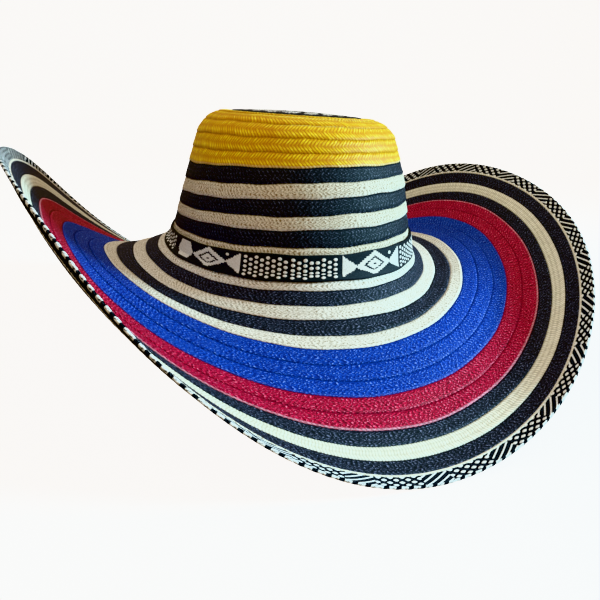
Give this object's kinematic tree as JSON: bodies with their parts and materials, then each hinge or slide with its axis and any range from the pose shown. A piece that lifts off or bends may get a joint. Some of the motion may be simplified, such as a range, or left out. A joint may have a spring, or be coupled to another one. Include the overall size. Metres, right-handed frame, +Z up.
{
  "type": "woven straw hat",
  "caption": "Wide straw hat sewn from striped braid turns, with an oval flat-topped crown, a patterned hatband and a brim turned up at both sides.",
  "frame": {"origin": "under the middle of the hat's box, on the surface that the brim's front and back stand on", "axes": "+Z up through the crown, -Y towards the hat's front, +X towards its right as seen from the front"},
  "size_m": [0.4066, 0.436, 0.171],
  "materials": {
    "straw_yellow": "woven straw, slight sheen",
    "straw_black": "woven straw, slight sheen",
    "straw_white": "woven straw, slight sheen",
    "straw_blue": "woven straw, slight sheen",
    "straw_red": "woven straw, slight sheen",
    "straw_cream": "woven straw, slight sheen",
    "straw_patterned": "black and white woven straw"
  },
  "bodies": {
    "root": {"crown_plate": "straw_patterned", "crown_yellow_1": "straw_yellow", "crown_yellow_2": "straw_yellow", "crown_yellow_3": "straw_yellow", "crown_yellow_4": "straw_yellow", "crown_yellow_5": "straw_yellow", "crown_black_1": "straw_black", "crown_white_1": "straw_white", "crown_black_2": "straw_black", "crown_white_2": "straw_white", "crown_black_3": "straw_black", "crown_white_3": "straw_white", "hatband": "straw_patterned", "brim_white_1": "straw_white", "brim_black_1": "straw_black", "brim_white_2": "straw_white", "brim_black_2": "straw_black", "brim_white_3": "straw_white", "brim_blue_1": "straw_blue", "brim_blue_2": "straw_blue", "brim_blue_3": "straw_blue", "brim_red_1": "straw_red", "brim_red_2": "straw_red", "brim_black_3": "straw_black", "brim_white_4": "straw_white", "brim_black_4": "straw_black", "brim_line": "straw_cream", "brim_edge": "straw_patterned"}
  },
  "joints": []
}
